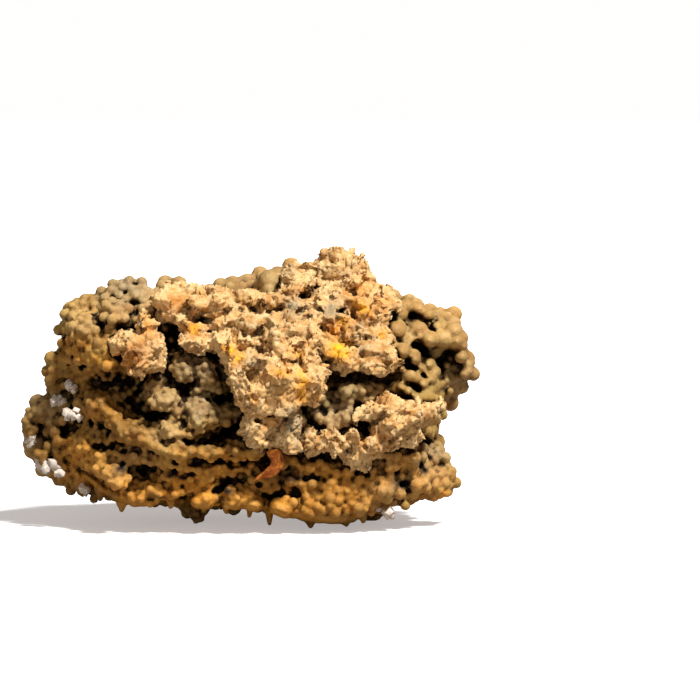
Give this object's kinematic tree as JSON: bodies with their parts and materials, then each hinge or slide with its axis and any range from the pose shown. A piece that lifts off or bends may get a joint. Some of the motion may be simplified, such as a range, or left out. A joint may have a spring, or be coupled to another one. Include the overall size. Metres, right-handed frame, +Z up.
{
  "type": "mottramite specimen",
  "caption": "Hand-sized knobbly mineral specimen: stacked botryoidal ledges with crumbly tan host rock on top and small white crystals; rests on its belly.",
  "frame": {"origin": "middle of the footprint of the whole specimen's box, on the surface it stands on", "axes": "+Z up as displayed, +X to the right seen from the front, -Y towards the viewer"},
  "size_m": [0.0678, 0.0428, 0.0414],
  "materials": {
    "mottramite_crust": "knobbly, olive to golden brown, with a dull dusty sheen",
    "host_rock": "crumbly, matt, pale tan stained with orange",
    "calcite": "white, slightly translucent crystal faces",
    "iron_oxide": "rust brown, matt"
  },
  "bodies": {
    "root": {"mottramite": "mottramite_crust", "host_rock_upper": "host_rock", "host_rock_lower_right": "host_rock", "host_rock_shoulder": "host_rock", "calcite_left_top": "calcite", "calcite_left_outer": "calcite", "calcite_left_inner": "calcite", "calcite_lobe_upper": "calcite", "calcite_lobe_lower": "calcite", "calcite_low_left": "calcite", "calcite_under_left": "calcite", "calcite_crevice": "calcite", "calcite_low_right": "calcite", "rusty_flake": "iron_oxide"}
  },
  "joints": []
}
